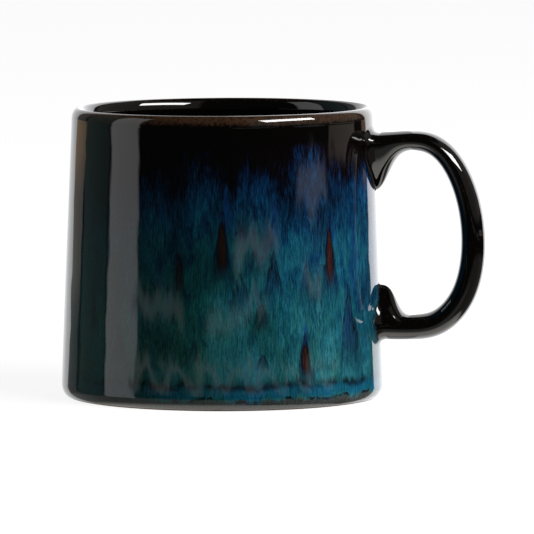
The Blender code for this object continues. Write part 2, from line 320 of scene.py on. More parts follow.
class Shell:
    """A closed skin with a fine visible side and a coarse hidden side under it."""

    def __init__(self, seen, hidden, removed=None):
        self.rows, self.columns = seen.shape[:2]
        self.coarse_rows, self.coarse_columns = hidden.shape[:2]
        self.offset = self.rows * self.columns
        self.points = np.vstack((seen.reshape(-1, 3), hidden.reshape(-1, 3)))
        shape = (self.coarse_rows - 1, self.coarse_columns)
        self.removed = np.zeros(shape, bool) if removed is None else removed
        self.faces = []

    def fine(self, row, column):
        return row * self.columns + column % self.columns

    def coarse(self, row, column):
        return self.offset + row * self.coarse_columns + column % self.coarse_columns

    def sides(self):
        for row in range(self.rows - 1):
            for column in range(self.columns):
                if not self.removed[row // COARSER, column // COARSER]:
                    self.faces.append((self.fine(row, column), self.fine(row + 1, column),
                                       self.fine(row + 1, column + 1),
                                       self.fine(row, column + 1)))
        for row in range(self.coarse_rows - 1):
            for column in range(self.coarse_columns):
                if not self.removed[row, column]:
                    self.faces.append((self.coarse(row, column), self.coarse(row, column + 1),
                                       self.coarse(row + 1, column + 1),
                                       self.coarse(row + 1, column)))

    def across(self, row, column, upward):
        """Closes the edge above one coarse cell, from the visible to the hidden side."""
        first = column * COARSER
        run = [self.fine(row * COARSER, first + step) for step in range(COARSER + 1)]
        face = run + [self.coarse(row, column + 1), self.coarse(row, column)]
        self.faces.append(tuple(face if upward else face[::-1]))

    def beside(self, row, column, leftward):
        """Closes the edge to the left of one coarse cell."""
        first = row * COARSER
        run = [self.fine(first + step, column * COARSER) for step in range(COARSER + 1)]
        face = run + [self.coarse(row + 1, column), self.coarse(row, column)]
        self.faces.append(tuple(face[::-1] if leftward else face))

    def rim(self, row, upward):
        for column in range(self.coarse_columns):
            self.across(row, column, upward)

    def hole_edges(self):
        for row in range(self.coarse_rows - 1):
            for column in range(self.coarse_columns):
                here = self.removed[row, column]
                if row and here != self.removed[row - 1, column]:
                    self.across(row, column, not here)
                if here != self.removed[row, column - 1]:
                    self.beside(row, column, not here)

    def fan(self, point, ring, upward):
        """Closes a ring of points with triangles about one more point."""
        self.points = np.vstack((self.points, point))
        tip = len(self.points) - 1
        for here, after in zip(ring, ring[1:] + ring[:1]):
            self.faces.append((tip, here, after) if upward else (tip, after, here))

    def poles(self):
        """Closes both sides in the middle, on the cup's axis."""
        seen = [self.fine(0, column) for column in range(self.columns)]
        hidden = [self.coarse(0, column) for column in range(self.coarse_columns)]
        for ring, upward in ((seen, True), (hidden, False)):
            self.fan((0.0, 0.0, self.points[ring[0]][2]), ring, upward)

    def build(self, name, material, pole=False):
        self.sides()
        if pole:
            self.poles()
        else:
            self.rim(0, True)
        self.rim(self.coarse_rows - 1, False)
        self.hole_edges()
        used = np.unique(np.concatenate([np.array(face) for face in self.faces]))
        place = np.full(len(self.points), -1)
        place[used] = np.arange(len(used))
        faces = [tuple(int(place[index]) for index in face) for face in self.faces]
        return new_mesh(name, self.points[used], faces, material)


def turned_solid(name, profile, material):
    """A solid of revolution whose profile starts and ends on the axis."""
    angles = np.arange(TURN_COLUMNS // 2) * 4 * math.pi / TURN_COLUMNS
    middle = profile[1:-1]
    grid = np.stack((middle[:, :1] * np.cos(angles), middle[:, :1] * np.sin(angles),
                     np.repeat(middle[:, 1:], len(angles), axis=1)), axis=-1)
    rows, columns = grid.shape[:2]
    tips = [(0, 0, profile[0][1]), (0, 0, profile[-1][1])]
    faces = []
    for column in range(columns):
        after = (column + 1) % columns
        last = (rows - 1) * columns
        for row in range(rows - 1):
            faces.append((row * columns + column, (row + 1) * columns + column,
                          (row + 1) * columns + after, row * columns + after))
        faces.append((rows * columns, column, after))
        faces.append((rows * columns + 1, last + after, last + column))
    return new_mesh(name, np.vstack((grid.reshape(-1, 3), tips)), faces, material)


# ------------------------------------------------------------------ where the glaze ran

# In these tables angles about the cup's axis are in degrees, from +X, and the rest is in mm.
# Dark bars where the glaze ran: angle, top, length, width, strength
RUNS = [
    (-80.0, 58.5, 19.0, 3.7, 1.0),
    (-37.5, 55.5, 20.0, 3.9, 1.0),
    (-49.3, 20.6, 11.5, 3.4, 1.0),
    (-95.5, 48.5, 14.0, 2.8, 0.60),
    (-66.0, 33.0, 10.0, 5.0, 0.30),
]
# Darker fans that spread below a point
FANS = [
    (-61.3, 49.5, 17.0, 7.5, 1.0),
    (-28.0, 37.5, 30.0, 13.0, 1.0),
    (-65.5, 19.6, 8.0, 4.6, 1.0),
    (-48.5, 46.0, 14.0, 4.6, 0.8),
    (-42.0, 62.0, 18.0, 6.0, 0.6),
    (-73.5, 43.0, 14.0, 9.0, 0.6),
    (-90.0, 23.0, 10.0, 5.0, 0.6),
]
# Bright blue plumes above the bars
PLUMES = [
    (-78.3, 70.0, 19.0, 6.0, 0.9),
    (-48.6, 28.5, 13.0, 4.0, 1.0),
    (-36.0, 62.0, 14.0, 5.0, 0.6),
    (-60.5, 68.0, 20.0, 5.0, 0.5),
    (-24.0, 58.0, 30.0, 7.0, 0.6),
]
# Painted shadows on the wall: angle, height, reach around and up, strength
PAINTED_SHADOWS = (
    (-101.0, 21.0, 8.0, 8.0, 0.60),
    (-79.0, 44.0, 9.0, 7.0, 0.30),
    (-62.0, 25.0, 7.0, 9.0, 0.22),
    (-24.0, 14.0, 9.0, 11.0, 0.35),
)
BACK_RUNS = 10                     # more bars, scattered over the back
BACK_ANGLES = (0, 230)

# The colours start at this height, and go halfway through their stops over this span; both
# are larger by their rise on the side of the wall where they start highest
FLOW_START = 0.066
FLOW_START_RISE = 0.010
FLOW_SPAN = 0.030
FLOW_SPAN_RISE = 0.016
HIGHEST_START = -35.0
START_WAVER = 0.0016
START_LEVEL = 0.04                 # the start wavers as the waves do at this height
FLOW_WAVER = 0.10
# About this angle, over this reach, the glaze is held back to blue by a share of the span,
# from nothing at the first height to all of it at the second and below
BLUE_SIDE = (-14, 20)
BLUE_HEIGHTS = (0.055, 0.030)
BLUE_HOLD = 0.45
# Painted light: the side of the wall that faces the key lamp at the right
# About this angle, over this reach, the whole wall is painted brighter by this factor more
PAINTED_LIGHT_SIDE = (-18, 42)
PAINTED_LIGHT_GAIN = 1.75


def scatter_back_runs():
    """Adds bars to the back, each with a fan beside it and a plume above it."""
    for turn in np.linspace(*BACK_ANGLES, BACK_RUNS):
        place = turn + RANDOM.uniform(-9, 9)
        top = RANDOM.uniform(18, 54)
        width = RANDOM.uniform(2.6, 3.8)
        strength = RANDOM.uniform(0.5, 1.0)
        RUNS.append((place, top, RANDOM.uniform(8, 14), width, strength))
        FANS.append((place + RANDOM.uniform(9, 14), top - 6, 14.0, 7.0, 0.9))
        PLUMES.append((place + 1, top + 15, 17.0, width * 1.6, strength))


scatter_back_runs()
# Every bar stands in a wider fan of its own
FANS += [(place, top + 3.5, length + 9, width * 2.5, strength)
         for place, top, length, width, strength in RUNS]


def run_field(angle, height, runs, opening, tip, fading):
    """How deep each point lies in the nearest run, 1 on its middle line and 0 at its edge.

    A run opens to its width over the share "opening" of its length, from a tip of the share
    "tip". The second result falls from 1 to 0 beyond the share "fading" of the length.
    """
    field = np.full(angle.shape, -1.0)
    faded = np.zeros(angle.shape)
    for where, top, length, width, strength in runs:
        turn = (angle - math.radians(where) + math.pi) % (2 * math.pi) - math.pi
        aside = np.abs(turn) * 1000 * wall_radius(height)
        down = (top - height * 1000) / length
        opened = np.clip(down / opening, 0.0001, 1)
        half = width / 2 * (tip + (1 - tip) * opened)
        depth = np.where((down > 0) & (down < 1), 1 - aside / half, -1.0)
        nearer = depth > field
        faded = np.where(nearer, strength * smooth_step(1.0, fading, down), faded)
        field = np.where(nearer, depth, field)
    return field, faded


def near(angle, side):
    """A smooth hump in angle about one side of the wall: its middle and reach, in degrees."""
    return np.exp(-((np.degrees(angle) - side[0]) / side[1]) ** 2)


def glaze_fields(angle, height):
    """What the glaze shows at each point, as named numbers; side is painted light and shade."""
    facing = 0.5 + 0.5 * np.cos(angle - math.radians(HIGHEST_START))
    start = FLOW_START + FLOW_START_RISE * facing
    start = start + START_WAVER * wave_sum(FLOW_WAVES, angle, START_LEVEL)
    span = FLOW_SPAN + FLOW_SPAN_RISE * facing
    flow = (start - height) / span + FLOW_WAVER * wave_sum(FLOW_WAVES, angle, height)
    flow = flow - BLUE_HOLD * near(angle, BLUE_SIDE) * smooth_step(*BLUE_HEIGHTS, height)
    level = height * 1000
    # Painted light and shade: brighter where the key lamp falls, darker under the painted
    # shadows
    side = 1 + PAINTED_LIGHT_GAIN * near(angle, PAINTED_LIGHT_SIDE)
    for where, middle, wide, tall, strength in PAINTED_SHADOWS:
        shadow = near(angle, (where, wide)) * np.exp(-((level - middle) / tall) ** 2)
        side = side * (1 - strength * shadow)
    fields = {"flow": flow, "level": level, "side": side}
    fields["core"], fields["core_fade"] = run_field(angle, height, RUNS, 0.32, 0.12, 0.60)
    fields["fan"], fields["fan_fade"] = run_field(angle, height, FANS, 1.0, 0.05, 0.50)
    fields["plume"], fields["plume_fade"] = run_field(angle, height, PLUMES, 0.6, 0.1, 0.6)
    return fields


def paint(piece, fields):
    """Gives each point of a piece its named numbers, which the materials read."""
    for name, values in fields.items():
        layer = piece.data.attributes.new(name, "FLOAT", "POINT")
        layer.data.foreach_set("value", np.asarray(values, dtype=np.float32))


def polar(piece):
    """Angle about the cup's axis, height and radius of each of a piece's points."""
    flat = np.empty(len(piece.data.vertices) * 3)
    piece.data.vertices.foreach_get("co", flat)
    x, y, z = flat.reshape(-1, 3).T
    return np.arctan2(y, x), z, np.hypot(x, y)


# ------------------------------------------------------------------ materials

class Nodes:
    """Short ways to add nodes; an input is a socket or a plain value."""

    def __init__(self, owner):
        owner.use_nodes = True
        self.tree = owner.node_tree
        self.tree.nodes.clear()

    def add(self, kind, inputs=None, **settings):
        node = self.tree.nodes.new(kind)
        for key, value in settings.items():
            setattr(node, key, value)
        for key, value in (inputs or {}).items():
            self.put(node.inputs[key], value)
        return node

    def put(self, socket, value):
        if isinstance(value, bpy.types.NodeSocket):
            self.tree.links.new(value, socket)
        elif socket.type == "RGBA":
            socket.default_value = (*value[:3], 1.0)
        else:
            socket.default_value = value

    def math(self, operation, first, second=0.0, third=0.0):
        inputs = {0: first, 1: second, 2: third}
        return self.add("ShaderNodeMath", inputs, operation=operation).outputs[0]

    def vector(self, operation, first, second):
        node = self.add("ShaderNodeVectorMath", {0: first, 1: second}, operation=operation)
        return node.outputs["Value" if operation == "DOT_PRODUCT" else "Vector"]

    def mix(self, factor, first, second, blend="MIX"):
        node = self.add("ShaderNodeMix", {0: factor, 6: first, 7: second},
                        data_type="RGBA", blend_type=blend)
        return node.outputs[2]

    def remap(self, value, low, high, start=0.0, end=1.0, smooth=True):
        inputs = {0: value, 1: low, 2: high, 3: start, 4: end}
        kind = "SMOOTHSTEP" if smooth else "LINEAR"
        return self.add("ShaderNodeMapRange", inputs, interpolation_type=kind).outputs[0]

    def between(self, value, rise, fall):
        """1 between two soft edges, 0 outside them; each edge is a pair of values."""
        return self.math("MULTIPLY", self.remap(value, *rise),
                         self.remap(value, *fall, 1.0, 0.0))

    def noise(self, vector, scale, detail=2.0, roughness=0.5):
        inputs = {"Vector": vector, "Scale": scale, "Detail": detail,
                  "Roughness": roughness}
        return self.add("ShaderNodeTexNoise", inputs).outputs["Fac"]

    def ramp(self, value, stops):
        node = self.add("ShaderNodeValToRGB", {0: value})
        band = node.color_ramp
        while len(band.elements) < len(stops):
            band.elements.new(1.0)
        for element, (place, colour) in zip(band.elements, stops):
            element.position = place
            element.color = (*colour, 1.0)
        return node.outputs[0]

    def attribute(self, name):
        return self.add("ShaderNodeAttribute", attribute_name=name).outputs["Fac"]

    def surface(self, **inputs):
        """Adds the material's one shader, whose inputs are given by name in small letters."""
        names = {key.replace("_", " ").title(): value for key, value in inputs.items()}
        names = {key.replace("Ior", "IOR"): value for key, value in names.items()}
        shader = self.add("ShaderNodeBsdfPrincipled", names)
        self.add("ShaderNodeOutputMaterial", {"Surface": shader.outputs[0]})


# Colours of the reactive glaze from where it starts to where it has run furthest
FLOW_COLOURS = (
    (0.000, (0.0009, 0.0008, 0.0010)),
    (0.040, (0.0008, 0.0020, 0.0075)),
    (0.085, (0.0007, 0.0090, 0.0270)),
    (0.160, (0.0010, 0.0220, 0.0560)),
    (0.270, (0.0022, 0.0470, 0.0740)),
    (0.420, (0.0032, 0.0580, 0.0760)),
    (0.560, (0.0060, 0.0860, 0.1020)),
    (0.700, (0.0070, 0.0840, 0.0940)),
    (0.850, (0.0020, 0.0640, 0.0860)),
)
BLACK_GLAZE = (0.0016, 0.0011, 0.0009)
BROWN_BREAK = (0.0620, 0.0310, 0.0160)
NAVY_RUN = (0.0020, 0.0130, 0.0420)
DARK_EDGE = (0.0014, 0.0030, 0.0080)
RUN_CORE = (0.0120, 0.0062, 0.0040)
BLUE_PLUME = (0.0020, 0.0230, 0.0850)
DEEP_POOL = (0.0012, 0.0560, 0.1050)
THIN_GLAZE = (0.0200, 0.0300, 0.0270)
CLAY_SPECK = (0.05, 0.03, 0.02)

# Bands of the glaze near the foot, in mm above the table: where each rises and where it fades
POOL_BAND = ((3.6, 4.6), (7.0, 8.2))
BRINK_BAND = ((5.6, 7.4), (7.6, 10.2))
LINE_BAND = ((2.6, 3.2), (3.6, 4.2))
THIN_FADE = (2.4, 3.6)

GLAZE_IOR = 1.52
GLAZE_ROUGHNESS = (0.012, 0.036)
RIPPLE_DEPTH = 0.0000080
CLAY_ROUGHNESS = (0.65, 0.9)
GRIT_DEPTH = 0.00006


def stretched(nodes, place, across, up):
    """Coordinates whose pattern is drawn out up and down the wall."""
    return nodes.vector("MULTIPLY", place, (across, across, up))


def ripple(nodes, place):
    """Very shallow unevenness of a glossy coat."""
    swell = nodes.noise(stretched(nodes, place, 1.0, 0.06), 520.0, 2.0)
    bump = nodes.add("ShaderNodeBump", {"Height": swell, "Strength": 1.0,
                                        "Distance": RIPPLE_DEPTH})
    return bump.outputs["Normal"]


def dark_colour(nodes, place, edge):
    """Black glaze that thins to brown where the edge number is high."""
    mottle = nodes.noise(place, 900.0, 3.0, 0.6)
    amount = nodes.math("ADD", edge, nodes.remap(mottle, 0.3, 0.7, -0.25, 0.25, False))
    amount = nodes.remap(amount, 0.25, 0.95)
    return nodes.mix(amount, BLACK_GLAZE, BROWN_BREAK)


def glaze_textures(nodes, place):
    """Noises of the reactive glaze, drawn out downwards.

    The fine, coarse and patch ones run from about -1 to 1.
    """
    drift = nodes.noise(place, 140.0, 1.0)
    drift = nodes.math("MULTIPLY_ADD", drift, 0.0016, -0.0008)
    bent = nodes.add("ShaderNodeCombineXYZ", {0: drift, 1: drift, 2: 0.0}).outputs[0]
    bent = nodes.vector("ADD", place, bent)
    fibre = nodes.noise(stretched(nodes, bent, 1.0, 0.10), 2600.0, 3.0, 0.65)
    streak = nodes.noise(stretched(nodes, bent, 1.0, 0.11), 620.0, 2.0, 0.55)
    cloud = nodes.noise(stretched(nodes, bent, 1.0, 0.45), 110.0, 3.0, 0.55)
    fine = nodes.remap(fibre, 0.32, 0.68, -1.0, 1.0, False)
    coarse = nodes.remap(streak, 0.32, 0.68, -1.0, 1.0, False)
    return {
        "fibre": fibre,
        "fine": fine,
        "coarse": coarse,
        "patch": nodes.remap(cloud, 0.35, 0.65, -1.0, 1.0, False),
        "broken": nodes.math("MULTIPLY_ADD", fine, 0.6, coarse),
        "grain": nodes.noise(stretched(nodes, bent, 1.0, 0.35), 3800.0, 2.0, 0.7),
        "stain": nodes.noise(stretched(nodes, bent, 1.0, 0.35), 330.0, 5.0, 0.65),
    }


def flow_colour(nodes, texture):
    """From black through navy to teal by how far the glaze ran, broken up and stained."""
    flow = nodes.math("MULTIPLY_ADD", texture["fine"], 0.10, nodes.attribute("flow"))
    flow = nodes.math("MULTIPLY_ADD", texture["coarse"], 0.06, flow)
    flow = nodes.math("MULTIPLY_ADD", texture["patch"], 0.10, flow)
    stain = nodes.math("MULTIPLY", nodes.remap(texture["stain"], 0.46, 0.64),
                       nodes.remap(flow, 0.1, 0.9, 0.0, 0.42, False))
    flow = nodes.math("SUBTRACT", flow, stain)
    return nodes.ramp(nodes.math("MULTIPLY", flow, 0.5), FLOW_COLOURS)


def add_runs(nodes, texture, colour):
    """Plumes, fans with a dark outline, and dark bars with a brown core."""

    def field(name, unevenness):
        return nodes.math("MULTIPLY_ADD", texture["broken"], unevenness,
                          nodes.attribute(name))

    def over(name, amount, below, above):
        faded = nodes.math("MULTIPLY", amount, nodes.attribute(name + "_fade"))
        return nodes.mix(faded, below, above)

    plume = nodes.remap(field("plume", 0.40), -0.2, 1.0, 0.0, 0.85)
    colour = over("plume", plume, colour, BLUE_PLUME)
    fan = field("fan", 0.28)
    colour = over("fan", nodes.remap(fan, -0.1, 0.6, 0.0, 0.75), colour, NAVY_RUN)
    outline = nodes.math("MULTIPLY", nodes.remap(fan, -0.10, 0.15, 0.0, 0.85),
                         nodes.remap(fan, 0.20, 0.60, 1.0, 0.0))
    colour = over("fan", outline, colour, DARK_EDGE)
    core = field("core", 0.10)
    colour = over("core", nodes.remap(core, 0.0, 0.30, 0.0, 0.95), colour, DARK_EDGE)
    return over("core", nodes.remap(core, 0.25, 0.75, 0.0, 0.90), colour, RUN_CORE)


def add_foot(nodes, place, texture, colour):
    """The pool above the foot, its dark broken brink, and the thin glaze and line below."""
    level = nodes.math("MULTIPLY_ADD", texture["broken"], 0.35, nodes.attribute("level"))
    level = nodes.math("MULTIPLY_ADD", texture["patch"], 0.8, level)
    pool = nodes.between(level, *POOL_BAND)
    colour = nodes.mix(nodes.math("MULTIPLY", pool, 0.8), colour, DEEP_POOL)
    gaps = nodes.remap(nodes.noise(place, 260.0, 3.0), 0.40, 0.60)
    brink = nodes.math("MULTIPLY", nodes.between(level, *BRINK_BAND),
                       nodes.remap(gaps, 0.0, 1.0, 0.25, 0.85, False))
    colour = nodes.mix(brink, colour, DARK_EDGE)
    thin = nodes.remap(level, *THIN_FADE, 1.0, 0.0)
    colour = nodes.mix(nodes.math("MULTIPLY", thin, 0.85), colour, THIN_GLAZE)
    line = nodes.between(level, *LINE_BAND)
    return nodes.mix(nodes.math("MULTIPLY", line, gaps), colour, DARK_EDGE)


def glaze_tone(nodes, texture):
    """How much brighter, redder or bluer the glaze is, as a factor, painted light included."""
    grain = nodes.remap(texture["grain"], 0.3, 0.7, 0.75, 1.25, False)
    patchy = nodes.math("MULTIPLY_ADD", texture["patch"], 0.22, 1.0)
    shade = nodes.math("MULTIPLY_ADD", texture["fine"], 0.52, 1.0)
    shade = nodes.math("MULTIPLY", shade, patchy)
    shade = nodes.math("MULTIPLY", shade, grain)
    # Painted light and shade, read from the side number
    side = nodes.attribute("side")
    shade = nodes.math("MULTIPLY", shade, side)
    mottle = nodes.math("ADD", texture["coarse"], texture["patch"])
    # The painted light also makes the lit side redder and the shaded side greener
    hue = nodes.math("MULTIPLY_ADD", mottle, 0.09, nodes.remap(side, 1.0, 1.35, 0.84, 1.0))
    redder = nodes.math("MULTIPLY", shade, nodes.remap(side, 1.0, 2.2, 1.1, 1.9))
    bluer = nodes.math("MULTIPLY", shade, hue)
    return nodes.add("ShaderNodeCombineXYZ", {0: redder, 1: shade, 2: bluer}).outputs[0]


def glossy_coat(nodes, place, colour, grain):
    """Finishes a glaze: its roughness follows the grain."""
    gloss = nodes.remap(grain, 0.3, 0.7, *GLAZE_ROUGHNESS, False)
    nodes.surface(base_color=colour, roughness=gloss, ior=GLAZE_IOR,
                  normal=ripple(nodes, place))


def reactive_glaze():
    material = bpy.data.materials.new("reactive_glaze")
    nodes = Nodes(material)
    place = nodes.add("ShaderNodeTexCoord").outputs["Object"]
    texture = glaze_textures(nodes, place)
    colour = flow_colour(nodes, texture)
    colour = add_runs(nodes, texture, colour)
    colour = add_foot(nodes, place, texture, colour)
    colour = nodes.mix(1.0, colour, glaze_tone(nodes, texture), "MULTIPLY")
    dark = dark_colour(nodes, place, nodes.attribute("edge"))
    cover = nodes.math("MULTIPLY_ADD", texture["broken"], 0.22, nodes.attribute("cover"))
    colour = nodes.mix(nodes.remap(cover, 0.25, 0.75), colour, dark)
    glossy_coat(nodes, place, colour, texture["fibre"])
    return material


def dark_glaze():
    material = bpy.data.materials.new("dark_glaze")
    nodes = Nodes(material)
    place = nodes.add("ShaderNodeTexCoord").outputs["Object"]
    colour = dark_colour(nodes, place, nodes.attribute("edge"))
    glossy_coat(nodes, place, colour, nodes.noise(place, 1400.0, 2.0))
    return material


def fired_clay(name, light, dark):
    material = bpy.data.materials.new(name)
    nodes = Nodes(material)
    place = nodes.add("ShaderNodeTexCoord").outputs["Object"]
    grit = nodes.noise(place, 2200.0, 4.0, 0.65)
    tint = nodes.noise(place, 160.0, 2.0)
    colour = nodes.mix(nodes.remap(tint, 0.3, 0.7), dark, light)
    speck = nodes.remap(nodes.noise(place, 1500.0, 1.0), 0.66, 0.74)
    colour = nodes.mix(speck, colour, CLAY_SPECK)
    rough = nodes.remap(grit, 0.3, 0.7, *CLAY_ROUGHNESS, False)
    bump = nodes.add("ShaderNodeBump", {"Height": grit, "Strength": 0.8,
                                        "Distance": GRIT_DEPTH})
    nodes.surface(base_color=colour, roughness=rough, normal=bump.outputs["Normal"])
    return material


reactive = reactive_glaze()
dark = dark_glaze()
clay = fired_clay("stoneware_clay", (0.45, 0.29, 0.16), (0.33, 0.19, 0.10))
slip = fired_clay("joining_slip_clay", (0.50, 0.34, 0.20), (0.36, 0.23, 0.13))


# ------------------------------------------------------------------ the pieces

ROOT_INSET = 0.0004                # the outer coat is open where this ring of each root lies
LAP_HEIGHTS = (0.0780, 0.0840)     # black laps over the blue between these heights
HANDLE_SPECKS_AND_SHEEN = 0.20                # how far the black breaks to brown, partly as painted sheen
HANDLE_LAP = (-0.0010, 0.0020)     # black laps over the blue this far out from the wall
UPPER_LAP_DRAWN_IN = 0.0012        # at the upper root the lap ends this much nearer the wall
UPPER_ROOT = (0.045, 0.060)        # heights between which the lower root's lap becomes that
CREST = (60, 50)                   # the lip breaks to brown about this angle, over this reach
CREST_BREAK = 0.75
CREST_DEPTH = 0.0035
BEAD_BREAK = 0.8                   # the underside's coat breaks to brown at its edge
BEAD_BREAK_WIDTH = 0.0015


def add_piece(piece, node):
    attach(piece, "root")
    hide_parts(node)


def root_cells(rows, profile):
    """Coarse cells of the outer coat that lie under the handle's two roots."""
    covered = np.zeros((rows, TURN_COLUMNS // COARSER), bool)
    ends = np.array([ROOT_INSET, PATH_LENGTH - ROOT_INSET])
    rings, _ = handle_grid(HANDLE_COLUMNS, ends, GLAZE)
    angles = np.arange(TURN_COLUMNS // COARSER + 1) * 2 * math.pi * COARSER / TURN_COLUMNS
    for ring in rings:
        centre = ring.mean(axis=0)
        outline = np.hypot(ring[:, 1], ring[:, 2] - centre[2])
        bearing = np.arctan2(ring[:, 2] - centre[2], ring[:, 1])
        order = np.argsort(bearing)
        for row in range(rows):
            for column in range(covered.shape[1]):
                inside = True
                for level in profile[[row * COARSER, (row + 1) * COARSER]]:
                    for angle in angles[[column, column + 1]]:
                        side = level[0] * math.sin(angle)
                        rise = level[1] - centre[2]
                        reach = np.interp(math.atan2(rise, side), bearing[order],
                                          outline[order], period=2 * math.pi)
                        inside &= math.cos(angle) > 0 and math.hypot(side, rise) < reach
                covered[row, column] |= inside
    return covered


def outer_coat():
    profile = outside_profile()
    seen = turned_grid(profile, TURN_COLUMNS)
    hidden = turned_grid(profile, TURN_COLUMNS, GLAZE)[::COARSER, ::COARSER]
    removed = root_cells(len(hidden) - 1, profile)
    piece = Shell(seen, hidden, removed).build("outer_coat", reactive)
    angle, height, _ = polar(piece)
    fields = glaze_fields(angle, height)
    fields["cover"] = smooth_step(*LAP_HEIGHTS, height)
    fields["edge"] = np.zeros(len(angle))
    paint(piece, fields)
    add_piece(piece, "outer_glaze")


def liner_coat():
    profile = inside_profile()
    seen = turned_grid(profile, TURN_COLUMNS)
    hidden = turned_grid(profile, TURN_COLUMNS, GLAZE)[::COARSER, ::COARSER]
    piece = Shell(seen, hidden).build("liner_coat", dark, pole=True)
    angle, height, radius = polar(piece)
    around_lip = np.arctan2(height - LIP_CENTRE[1], radius - LIP_CENTRE[0])
    crest = near(around_lip, CREST) * (height > HEIGHT - CREST_DEPTH)
    paint(piece, {"edge": CREST_BREAK * crest})
    add_piece(piece, "liner_glaze")


def handle_coat():
    lengths = handle_lengths()
    seen, _ = handle_grid(HANDLE_COLUMNS, lengths, 0.0)
    hidden, _ = handle_grid(HANDLE_COLUMNS, lengths, GLAZE)
    piece = Shell(seen, hidden[::COARSER, ::COARSER]).build("handle_coat", reactive)
    angle, height, radius = polar(piece)
    fields = glaze_fields(angle, height)
    away = radius - wall_radius(height)
    upper = smooth_step(*UPPER_ROOT, height)
    lap_end = HANDLE_LAP[1] - UPPER_LAP_DRAWN_IN * upper
    fields["cover"] = smooth_step(HANDLE_LAP[0], lap_end, away)
    # Brown specks all over the handle, partly a painted sheen
    fields["edge"] = np.full(len(angle), HANDLE_SPECKS_AND_SHEEN)
    paint(piece, fields)
    add_piece(piece, "handle_glaze")


def clay_cup():
    corner_top = FLOOR_HEIGHT + FLOOR_CORNER
    wall = wall_radius(corner_top) - WALL_AT_FLOOR
    turn = arc((wall - FLOOR_CORNER, corner_top), (FLOOR_CORNER + COAT,) * 2, -90, 0, 12)
    lip = arc(LIP_CENTRE, (LIP_RADIUS - COAT, LIP_RISE - COAT), 180, 0, 16)
    corner = arc((FOOT_RADIUS, CORNER_HEIGHT),
                 (BASE_RADIUS - FOOT_RADIUS - COAT, CORNER_HEIGHT), 0, -90, 20)
    ring = FOOT_RADIUS - FOOT_WIDTH
    chamfer = arc((ring + FOOT_CHAMFER, FOOT_CHAMFER), (FOOT_CHAMFER, FOOT_CHAMFER),
                  -90, -165, 6)
    top = arc((ring - RECESS_SLOPE - RECESS_ROUNDING, RECESS_DEPTH - RECESS_ROUNDING),
              (RECESS_ROUNDING, RECESS_ROUNDING), 15, 90, 6)
    profile = joined(line((0.0, FLOOR_HEIGHT - COAT), turn[0], 6), turn,
                     line(turn[-1], lip[0], 8), lip, line(lip[-1], corner[0], 24), corner,
                     line(corner[-1], chamfer[0], 3), chamfer,
                     line(chamfer[-1], top[0], 2), top,
                     line(top[-1], (0.0, RECESS_DEPTH), 6))
    piece = turned_solid("clay_cup", profile, clay)
    add_piece(piece, "cup_body")


def underside_coat():
    top = RECESS_DEPTH - GAP
    edge = FOOT_RADIUS - FOOT_WIDTH - RECESS_SLOPE - GAP
    bead = arc((edge - GLAZE / 2, top - GLAZE / 2), (GLAZE / 2, GLAZE / 2), 90, -90, 10)
    profile = joined(line((0.0, top), bead[0], 12), bead,
                     line(bead[-1], (0.0, top - GLAZE), 12))
    piece = turned_solid("underside_coat", profile, dark)
    _, _, radius = polar(piece)
    paint(piece, {"edge": BEAD_BREAK * smooth_step(edge - BEAD_BREAK_WIDTH, edge, radius)})
    add_piece(piece, "underside_glaze")


outer_coat()
liner_coat()
handle_coat()
clay_cup()
underside_coat()
for node, material in (("handle", clay), ("upper_slip_joint", slip),
                       ("lower_slip_joint", slip)):
    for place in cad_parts[node].material_slots:
        place.material = material


# ------------------------------------------------------------------ studio

LAMP_AIM = Vector((0, 0, 0.045))   # the middle of the mug


def direction(azimuth, elevation):
    """Unit vector towards an azimuth, counted from the camera's to the right, and height."""
    turn = math.radians(azimuth + VIEW_AZIMUTH)
    rise = math.radians(elevation)
    return Vector((math.sin(turn) * math.cos(rise), -math.cos(turn) * math.cos(rise),
                   math.sin(rise)))


def add_camera():
    right = Vector((math.cos(math.radians(VIEW_AZIMUTH)),
                    math.sin(math.radians(VIEW_AZIMUTH)), 0.0))
    aim = right * VIEW_TARGET[0] + Vector((0, 0, VIEW_TARGET[1]))
    data = bpy.data.cameras.new("camera")
    data.sensor_width = SENSOR_WIDTH
    data.lens = SENSOR_WIDTH * VIEW_DISTANCE / VIEW_WIDTH
    data.clip_start = 0.1
    data.clip_end = 50.0
    camera = bpy.data.objects.new("camera", data)
    away = direction(0.0, VIEW_ELEVATION)
    camera.location = aim + away * VIEW_DISTANCE
    camera.rotation_mode = "QUATERNION"
    camera.rotation_quaternion = (-away).to_track_quat("-Z", "Y")
    bpy.context.scene.collection.objects.link(camera)
    bpy.context.scene.camera = camera


def add_softbox(name, azimuth, elevation, distance, size, power, mirrored):
    """A soft light that is either only mirrored by gloss or only lights the colours."""
    data = bpy.data.lights.new(name, "AREA")
    data.shape = "RECTANGLE"
    data.size, data.size_y = size
    data.energy = power
    lamp = bpy.data.objects.new(name, data)
    towards = direction(azimuth, elevation)
    lamp.location = LAMP_AIM + towards * distance
    lamp.rotation_mode = "QUATERNION"
    lamp.rotation_quaternion = towards.to_track_quat("Z", "Y")
    lamp.visible_camera = False
    lamp.visible_diffuse = not mirrored
    lamp.visible_glossy = mirrored
    bpy.context.scene.collection.objects.link(lamp)


# What the glaze mirrors, in degrees: azimuth from the camera's to the right and its softness,
# elevation and its softness, radiance
PANELS = (
    ((-200, 200), 1, (-60, -12), 6, (0.34, 0.36, 0.35)),
    ((-200, 200), 1, (-95, -44), 12, (2.20, 2.12, 1.98)),
    ((-126, -95), 2, (-14, 44), 2, (0.10, 0.15, 0.14)),
    ((20, 131), 3, (4, 60), 2, (0.22, 0.21, 0.19)),
    ((20, 131), 3, (-44, -9), 2, (0.18, 0.17, 0.155)),
    ((-93, -66), 1.2, (-14, 44), 1.5, (1.15, 1.15, 1.18)),
    ((-148, -129), 1.2, (-14, 40), 2, (0.18, 0.185, 0.18)),
)
